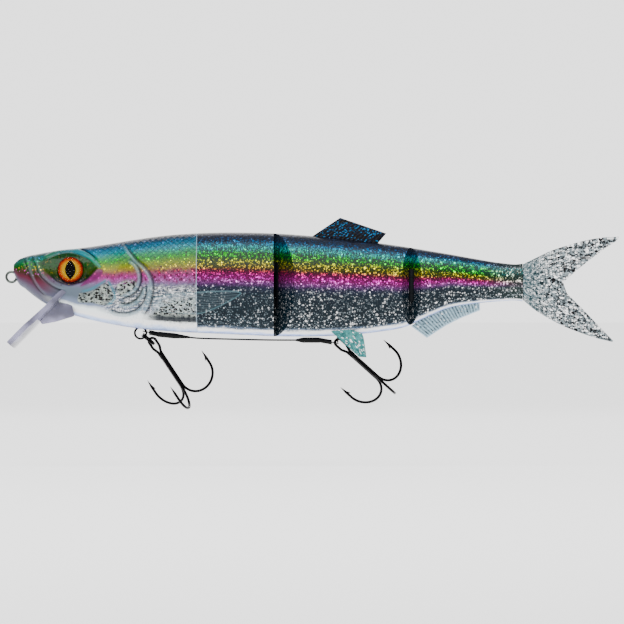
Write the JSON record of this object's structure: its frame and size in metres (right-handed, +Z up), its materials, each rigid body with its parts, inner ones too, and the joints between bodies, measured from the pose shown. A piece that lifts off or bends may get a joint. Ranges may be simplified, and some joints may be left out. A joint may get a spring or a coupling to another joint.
{
  "type": "jointed fishing lure",
  "caption": "Fish-shaped swimbait: hard hollow head with a diving lip, soft tail in hinged sections, and treble hooks on a ring and a wire leader.",
  "frame": {"origin": "centre of the line-tie loop at the nose, where the fishing line is tied", "axes": "+X from the nose to the tail, +Y to the fish's right side along the line-tie loop's axis, +Z up"},
  "size_m": [0.2579, 0.0306, 0.0805],
  "materials": {
    "head_plastic": "printed scales under clear lacquer",
    "soft_plastic": "soft vinyl with glitter",
    "dorsal_soft": "soft vinyl with blue flakes",
    "pelvic_soft": "translucent soft vinyl with glitter",
    "anal_soft": "translucent soft vinyl with rays",
    "tail_soft": "translucent soft vinyl with silver and black flakes",
    "clear_lip": "clear polycarbonate",
    "tie_wire": "stainless wire",
    "black_nickel": "black nickel",
    "iris": "printed foil",
    "eye_dome": "clear resin",
    "core_plastic": "moulded nylon",
    "pin_steel": "ground pin",
    "ballast_metal": "cast",
    "heat_shrink": "heat-shrink tube",
    "crimp_metal": "plain",
    "leader_steel": "dark coated wire"
  },
  "bodies": {
    "head": {"head_shell_left": "head_plastic", "head_shell_right": "head_plastic", "diving_lip": "clear_lip", "tow_eye": "tie_wire", "belly_hanger": "tie_wire", "belly_ballast": "ballast_metal", "left_eye": "iris", "left_eye_lens": "eye_dome", "right_eye": "iris", "right_eye_lens": "eye_dome", "front_core": "core_plastic", "front_hinge_pin": "pin_steel", "front_soft_section": "soft_plastic", "leader_front_loop": "leader_steel", "leader_front_crimp": "crimp_metal", "leader_front_sleeve": "heat_shrink", "leader_wire": "leader_steel"},
    "mid_section": {"mid_core": "core_plastic", "mid_soft_section": "soft_plastic", "rear_hinge_pin": "pin_steel", "dorsal_fin": "dorsal_soft", "pelvic_fin_left": "pelvic_soft", "pelvic_fin_right": "pelvic_soft", "rear_hook_anchor": "tie_wire", "leader_rear_sleeve": "heat_shrink", "leader_rear_crimp": "crimp_metal", "leader_rear_loop": "leader_steel"},
    "rear_section": {"rear_core": "core_plastic", "rear_soft_section": "soft_plastic", "anal_fin": "anal_soft"},
    "tail": {"tail_fin": "tail_soft"},
    "front_ring": {"front_split_ring": "black_nickel"},
    "front_hook": {"front_treble": "black_nickel"},
    "rear_hook": {"rear_treble": "black_nickel"}
  },
  "joints": [
    {"name": "mid_yaw", "type": "hinge", "parent": "head", "child": "mid_section", "pos_m": [0.1124, 0, 0], "axis": [0, 0, 1], "range_deg": [-30, 30], "deforming": ["leader_wire"]},
    {"name": "rear_yaw", "type": "hinge", "parent": "mid_section", "child": "rear_section", "pos_m": [0.168, 0, 0], "axis": [0, 0, 1], "range_deg": [-35, 35]},
    {"name": "tail_flex", "type": "hinge", "parent": "rear_section", "child": "tail", "pos_m": [0.2145, 0, 0], "axis": [0, 0, 1], "range_deg": [-25, 25], "stiffness_Nm_per_rad": 0.01},
    {"name": "ring_swing", "type": "hinge", "parent": "head", "child": "front_ring", "pos_m": [0.0542, 0, -0.0235], "axis": [0, 1, 0], "range_deg": [-5, 55]},
    {"name": "front_hook_swing", "type": "hinge", "parent": "front_ring", "child": "front_hook", "pos_m": [0.05995, 0, -0.02816], "axis": [0, 1, 0], "range_deg": [-4, 30]},
    {"name": "rear_hook_swing", "type": "hinge", "parent": "mid_section", "child": "rear_hook", "pos_m": [0.137, 0, -0.0272], "axis": [0, 1, 0], "range_deg": [-5, 60]}
  ]
}
